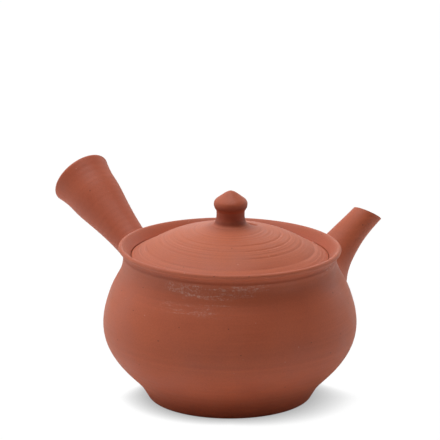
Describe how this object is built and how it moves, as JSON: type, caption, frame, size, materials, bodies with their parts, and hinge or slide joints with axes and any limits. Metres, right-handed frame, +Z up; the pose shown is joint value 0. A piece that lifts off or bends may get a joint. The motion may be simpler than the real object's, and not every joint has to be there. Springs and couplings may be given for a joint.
{
  "type": "teapot",
  "caption": "Side-handled unglazed clay teapot with a sunk domed lid and pointed knob, a short upturned spout with a pierced strainer behind it, and a hollow trumpet handle.",
  "frame": {"origin": "on the pot's turning axis, level with the flat ring of the foot that it stands on", "axes": "+Z up along the turning axis, +X towards the spout, and the handle close to +Y"},
  "size_m": [0.1386, 0.1674, 0.0914],
  "materials": {
    "pot_clay": "matte unglazed red clay, thrown, with faint throwing lines and thin pale wiped slip",
    "spout_clay": "matte unglazed red clay",
    "handle_clay": "matte unglazed red clay",
    "lid_clay": "matte unglazed red clay with fine turning rings",
    "knob_clay": "matte unglazed red clay",
    "strainer_clay": "matte unglazed red clay, pierced",
    "joint_slip": "matte dried and fired slip, a little darker"
  },
  "bodies": {
    "pot": {"pot_body": "pot_clay", "spout": "spout_clay", "spout_slip": "joint_slip", "strainer": "strainer_clay", "strainer_slip": "joint_slip", "handle": "handle_clay", "handle_slip": "joint_slip"},
    "lid": {"lid": "lid_clay", "knob_slip": "joint_slip", "lid_knob": "knob_clay"}
  },
  "joints": [
    {"name": "lid_lift", "type": "slide", "parent": "pot", "child": "lid", "axis": [0, 0, 1], "range_m": [0, 0.06]}
  ]
}
